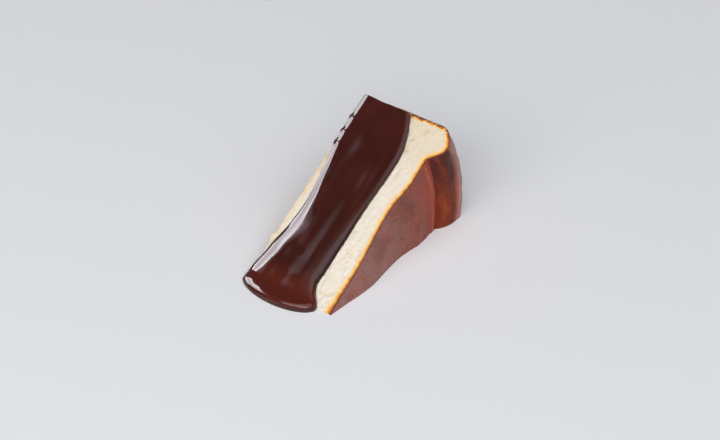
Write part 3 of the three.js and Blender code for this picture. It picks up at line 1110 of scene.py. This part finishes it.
def sauce_runs(s, y):
    """How far the small runs reach over the bottom edge, and 1 in the middle of each, 0 between them."""
    radius = y / math.cos(s.slice_angle) / MM
    runs = [hump(radius, middle, half_width) for middle, _, half_width in SAUCE_RUNS]
    reach = sum(reach * MM * run for (_, reach, _), run in zip(SAUCE_RUNS, runs))
    return reach, np.max(runs, axis=0)


def ragged_edge(sauce, x, y):
    """How far the right edge strays on the crumb, more so near the tip."""
    near_tip = 1 - ease(y, RAGGED_CALMER)
    stray = waves(np.stack([x, y, np.zeros(len(y))], axis=1), RAGGED_SIZE, 2)
    return sauce.ragged * (1 + near_tip) * stray * ease(y, RAGGED_START)


def crowded(count):
    """Shares from 0 to 1 in count steps, which crowd towards both ends."""
    even = np.linspace(0, 1, count + 1)
    return (even + (1 - np.cos(np.pi * even)) / 2) / 2


def sauce_plan(s, sauce):
    """Grid of places between the two edges, in straight rows that crowd towards every edge.

    Returns it with calm edges and with uneven ones, and the share across of each column.
    """
    left, right = sauce_edges(s, sauce)
    across = crowded(SAUCE_COLUMNS)
    near_front = 1 - np.exp(-np.linspace(0, 1, SAUCE_ROWS + 1) / FRONT_CROWDING)
    y = between(left[0, 1], left[-1, 1], crowded(SAUCE_ROWS) * near_front / near_front[-1])
    first = np.interp(y, left[:, 1], left[:, 0])
    last = np.interp(y, right[:, 1], right[:, 0])
    column = across[:, None]
    calm = between(first, last, column)
    uneven = calm - sauce_runs(s, y)[0] * (1 - column) ** EDGE_HOLD
    uneven += ragged_edge(sauce, last, y) * column ** EDGE_HOLD
    calm_plan, uneven_plan = (np.stack(np.broadcast_arrays(x, y), axis=-1) for x in (calm, uneven))
    return calm_plan, uneven_plan, across


def softened(field, passes):
    """The field without its creases. Its first row and its first and last columns stay as they are."""
    for _ in range(passes):
        field[:, -1] = field[:, -2]
        field[[0, -1], -1] = 0
        around = field[:-2, 1:-1] + field[2:, 1:-1] + field[1:-1, :-2] + field[1:-1, 2:]
        field[1:-1, 1:-1] = field[1:-1, 1:-1] / 2 + around / 8
    return field


def rounded(share):
    """A quarter of an ellipse: 0 at the edge, 1 a whole share inside it."""
    return np.sqrt(1 - (1 - np.minimum(share, 1)) ** 2)


def edge_fullness(s, sauce, height, y, edge, rightness):
    """Shares of its full depth that the sauce has near its edges, for a slanting strip and a round end."""
    on_slope = ease(y, ONTO_SLOPE)
    rim_start = between(*RIM_STARTS, rightness)
    near_rim = ease(y, (rim_start, rim_start + between(*RIM_SPANS, rightness)))
    pool_edge = between(sauce.pool_left_edge, sauce.pool_right_edge, ease(height, POOL_TURN))
    slope_edge = between(sauce.left_edge, sauce.right_edge, rightness)
    edge_width = between(between(pool_edge, slope_edge, on_slope), sauce.rim_edge, near_rim)
    bulge = hump(y, sauce.bulge_middle, sauce.bulge_span)
    left_slant = between(sauce.left_slant, sauce.rim_left_slant, near_rim) + sauce.left_bulge * bulge
    right_slant = between(sauce.right_slant, sauce.rim_right_slant, near_rim)
    slant_width = between(left_slant, right_slant, rightness)
    flat = rightness * hump(y, sauce.flat_middle, sauce.flat_span)
    left_loss = sauce.left_loss * (1 + BULGE_LOSS * bulge)
    loss = between(left_loss, sauce.slant, np.maximum(rightness, near_rim))
    loss *= on_slope * (1 - FLAT_GAIN * flat)
    over_edge = ease(edge, RUN_SPAN) * (1 - rightness)
    loss *= 1 - RUN_FILL * sauce_runs(s, y)[1] * over_edge
    slanted = 1 - loss * (1 - np.minimum(edge / slant_width, 1)) ** SLANT_CURVE
    return slanted, rounded(edge / edge_width)


def sauce_ripples(s, sauce, height, y):
    """Small steps down to the right in the sauce, which catch the soft light."""
    steps = np.zeros(len(y))
    for middle, radius, half_length in SAUCE_RIPPLES:
        stretch = hump(y, radius * MM * math.cos(s.slice_angle), half_length * MM)
        steps -= np.tanh((height - middle * MM) / sauce.ripple_width) * stretch
    return sauce.ripple_drop * steps


def edge_distances(calm):
    """Distance of each place in the sauce from its edges, softened, and from its end at the rim."""
    flat = calm.reshape(-1, 2)
    outline = np.vstack([calm[0, ::-1], calm[-1]])
    edge = distance_to(spaced(outline, OUTLINE_STEPS), flat).reshape(calm.shape[:2])
    edge[[0, -1], :] = 0
    edge[:, 0] = 0
    end = distance_to(calm[[0, -1], -1], flat).reshape(calm.shape[:2])
    end[:, -1] = 0
    return softened(edge, SOFT_PASSES).ravel(), end.ravel()


def sauce_swell(s, sauce, height, y):
    """Soft swells, narrow streaks and ripples in the sauce's top."""
    solid = np.stack([height, y, np.zeros(len(y))], axis=1)
    swell = sauce.swell * waves(solid, SAUCE_SWELL, 2)
    swell += sauce.streak * waves(solid + 1, SAUCE_STREAK, 1) * ease(y, STREAKS_START)
    return swell + sauce_ripples(s, sauce, height, y)


def sauce_form(s, sauce):
    """Places of the sauce's top and underside on one grid, its depth, and 1 where shade is painted on its
    right edge.
    """
    calm, uneven, across = sauce_plan(s, sauce)
    edge, end = edge_distances(calm)
    height, y = uneven.reshape(-1, 2).T
    bed = sauce_bed(s, height, y)
    rise = y * math.tan(s.slice_angle)
    folded = (rise + np.hypot(rise, sauce.fold_rounding)) / 2
    thick = between(sauce.tip_thickness, sauce.coat_thickness, smooth_step(y, 0, sauce.tip_span))
    swell = sauce_swell(s, sauce, height, y)
    rightness = np.repeat(smooth_step(across, *LEFT_TO_RIGHT), SAUCE_ROWS + 1)
    roll = sauce.right_swell * np.repeat(smooth_step(across, 0, 1), SAUCE_ROWS + 1)
    roll *= ease(y, ROLL_START) * ease(y, ROLL_END)
    crown = np.maximum(folded, bed) + (thick + roll + swell) / math.cos(s.slice_angle)
    slanted, round_end = edge_fullness(s, sauce, height, y, edge, rightness)
    fullness = slanted * round_end * rounded(end / sauce.rim_end)
    depth = (crown - bed) * fullness
    sunk = np.minimum(bed, sauce.sunk)
    top = np.stack([height, y, bed + depth - sunk * (1 - fullness)], axis=1)
    under = np.stack([height, y, bed - sunk], axis=1)
    # Where shade is painted: the steep part of the right edge, on the slope
    shade = smooth_step(round_end, *PAINTED_SHADE_SPAN) * rightness * ease(y, SHADE_START)
    return top, under, depth, shade


def sauce_quads():
    """Corner indices of the sauce's top and underside, which share the points along their edge."""
    counts = (SAUCE_COLUMNS + 1, SAUCE_ROWS + 1)
    top = np.arange(counts[0] * counts[1]).reshape(counts)
    under = top.copy()
    inner = (SAUCE_COLUMNS - 1, SAUCE_ROWS - 1)
    under[1:-1, 1:-1] = top.size + np.arange(inner[0] * inner[1]).reshape(inner)

    def cells(layer):
        corners = (layer[:-1, :-1], layer[1:, :-1], layer[1:, 1:], layer[:-1, 1:])
        return np.stack(corners, axis=-1).reshape(-1, 4)

    return np.vstack([cells(top), cells(under)[:, ::-1]])


# Operators

class CHEESECAKE_OT_bake_slice(bpy.types.Operator):
    """Build the slice of cake with its crumb, its burnt skin and its papered side"""

    bl_idname = "cheesecake.bake_slice"
    bl_label = "Bake Slice"

    def execute(self, context):
        s = context.scene.cheesecake_slice
        cake = SliceLattice(s)
        around = cake.around()
        wrinkle_top(s, cake, around)
        crinkle_side(s, cake, around)
        crease_base(s, cake, around)
        places = cake.bent()
        pit = add_crumb(s, cake, places)
        makers = (cream_material, burnt_material, side_material, base_material, lip_material)
        slots = {"upper_cut": 0, "lower_cut": 0, "tip": 0, "top": 1, "rim": 2, "base": 3}
        lip_slot = len(makers) - 1
        quads = np.vstack([cake.quads(face) for face in slots])
        slot_of = np.concatenate([np.full(len(cake.quads(face)), slot) for face, slot in slots.items()])
        on_lip = around[quads, 0].mean(axis=1) > s.crease_radius + s.groove_width / 2
        slot_of[(slot_of == slots["top"]) & on_lip] = lip_slot
        piece = make_mesh(
            "basque_cheesecake", places + frame_offset(s), quads, slot_of, [maker(s) for maker in makers]
        )
        keep(piece.data, "cake_place", around / MM)
        keep(piece.data, "crust_depth", cake.depths / MM)
        keep(piece.data, "pore_depth", pit)
        keep(piece.data, "fold_height", cake.fold / MM)
        mark_sharp(piece.data, cake)
        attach(piece, BODY)
        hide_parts(SLICE_NODE)
        return {"FINISHED"}


class CHEESECAKE_OT_pour_sauce(bpy.types.Operator):
    """Pour the chocolate sauce over the upper cut face and into its pool"""

    bl_idname = "cheesecake.pour_sauce"
    bl_label = "Pour Sauce"

    def execute(self, context):
        s = context.scene.cheesecake_slice
        sauce = context.scene.chocolate_sauce
        top, under, depth, shade = sauce_form(s, sauce)
        counts = (SAUCE_COLUMNS + 1, SAUCE_ROWS + 1)
        inner = np.zeros(counts, bool)
        inner[1:-1, 1:-1] = True
        places = np.vstack([top, under[inner.ravel()]])
        quads = sauce_quads()
        piece = make_mesh(
            "poured_sauce",
            places + frame_offset(s),
            quads,
            np.zeros(len(quads), int),
            [sauce_material(sauce)],
        )
        keep(piece.data, "sauce_place", places / MM)
        keep(piece.data, "sauce_depth", np.concatenate([depth, depth[inner.ravel()]]) / MM)
        keep(piece.data, "sauce_shade", np.concatenate([shade, shade[inner.ravel()]]))
        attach(piece, BODY)
        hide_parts(SAUCE_NODE)
        return {"FINISHED"}


def soft_box(name, place, target, size, watts, shade=(1, 1, 1), bands=None):
    """A soft area light that faces its target. One with bright and dim bands lights only reflections."""
    light = bpy.data.lights.new(name, "AREA")
    light.shape = "RECTANGLE"
    light.size, light.size_y = size
    light.energy = watts
    light.color = shade
    lamp = bpy.data.objects.new(name, light)
    lamp.visible_diffuse = not bands
    if bands:
        light.use_nodes = True
        tree = light.node_tree
        upward = axes(tree, add_node(tree, "ShaderNodeNewGeometry").outputs["Parametric"])["Y"]
        strength = ramp(tree, upward, [(stop, (share, share, share)) for stop, share in bands])
        tree.links.new(strength, tree.nodes["Emission"].inputs["Strength"])
    lamp.location = place
    lamp.rotation_euler = (Vector(target) - Vector(place)).to_track_quat("-Z", "Y").to_euler()
    bpy.context.scene.collection.objects.link(lamp)


class CHEESECAKE_OT_set_stage(bpy.types.Operator):
    """Set the pale floor, the soft lights and the camera"""

    bl_idname = "cheesecake.set_stage"
    bl_label = "Set Stage"

    def execute(self, context):
        s = context.scene.cheesecake_slice
        stage = context.scene.cheesecake_stage
        self.lay_floor(stage)
        self.hang_lights(context, stage)
        self.place_camera(context, s, stage)
        context.scene.view_settings.view_transform = "Standard"
        return {"FINISHED"}

    def lay_floor(self, stage):
        half = stage.floor_size / 2
        signs = ((-1, -1), (1, -1), (1, 1), (-1, 1))
        corners = np.array([(half * x, half * y, -FLOOR_GAP * MM) for x, y in signs])
        quads = np.array([[0, 1, 2, 3]])
        floor = make_mesh("floor", corners, quads, np.array([0]), [floor_material(stage)])

    def hang_lights(self, context, stage):
        world = bpy.data.worlds.new("Studio")
        context.scene.world = world
        world.use_nodes = True
        tree = world.node_tree
        backdrop = tree.nodes["Background"]
        toward = add_node(tree, "ShaderNodeTexCoord").outputs["Generated"]
        inputs = {0: toward, 1: Vector(GLOW_MIDDLE).normalized()}
        facing = add_node(tree, "ShaderNodeVectorMath", inputs, operation="DOT_PRODUCT").outputs["Value"]
        glow = remap(tree, facing, stage.glow_edge, 1.0, stage.world_light, stage.glow_light)
        set_inputs(tree, backdrop, Color=ROUND_SHADE, Strength=glow)
        soft_box("Left strip", STRIP_PLACE, STRIP_TARGET, STRIP_SIZE, STRIP_WATTS, STRIP_SHADE, STRIP_BANDS)
        soft_box("Fill", FILL_PLACE, FILL_TARGET, FILL_SIZE, FILL_WATTS)

    def place_camera(self, context, s, stage):
        camera = bpy.data.cameras.new("Camera")
        camera.sensor_width = 36
        camera.lens = stage.lens
        camera.clip_end = 50
        viewer = bpy.data.objects.new("Camera", camera)
        context.scene.collection.objects.link(viewer)
        target = Vector(frame_offset(s)) + Vector((stage.look_at_height, stage.look_at_radius, 0))
        flat = math.cos(stage.camera_elevation)
        back = Vector((
            math.sin(stage.camera_azimuth) * flat,
            -math.cos(stage.camera_azimuth) * flat,
            math.sin(stage.camera_elevation),
        ))
        viewer.location = target + stage.camera_distance * back
        viewer.rotation_euler = (-back).to_track_quat("-Z", "Y").to_euler()
        context.scene.camera = viewer


class CHEESECAKE_PT_builder(bpy.types.Panel):
    """Sizes, colours and build steps of the slice"""

    bl_label = "Cheesecake"
    bl_idname = "CHEESECAKE_PT_builder"
    bl_space_type = "VIEW_3D"
    bl_region_type = "UI"
    bl_category = "Cheesecake"

    def draw(self, context):
        scene = context.scene
        steps = (
            ("cheesecake.bake_slice", scene.cheesecake_slice),
            ("cheesecake.pour_sauce", scene.chocolate_sauce),
            ("cheesecake.set_stage", scene.cheesecake_stage),
        )
        for operator, settings in steps:
            box = self.layout.box()
            for name in settings.__annotations__:
                box.prop(settings, name)
            box.operator(operator)


CLASSES = (
    CheesecakeSliceSettings,
    ChocolateSauceSettings,
    CheesecakeStageSettings,
    CHEESECAKE_OT_bake_slice,
    CHEESECAKE_OT_pour_sauce,
    CHEESECAKE_OT_set_stage,
    CHEESECAKE_PT_builder,
)


def register():
    for each in CLASSES:
        bpy.utils.register_class(each)
    scene = bpy.types.Scene
    scene.cheesecake_slice = bpy.props.PointerProperty(type=CheesecakeSliceSettings)
    scene.chocolate_sauce = bpy.props.PointerProperty(type=ChocolateSauceSettings)
    scene.cheesecake_stage = bpy.props.PointerProperty(type=CheesecakeStageSettings)


def unregister():
    scene = bpy.types.Scene
    del scene.cheesecake_stage
    del scene.chocolate_sauce
    del scene.cheesecake_slice
    for each in reversed(CLASSES):
        bpy.utils.unregister_class(each)


def main():
    register()
    bpy.ops.cheesecake.bake_slice()
    bpy.ops.cheesecake.pour_sauce()
    bpy.ops.cheesecake.set_stage()


if __name__ == "__main__":
    main()
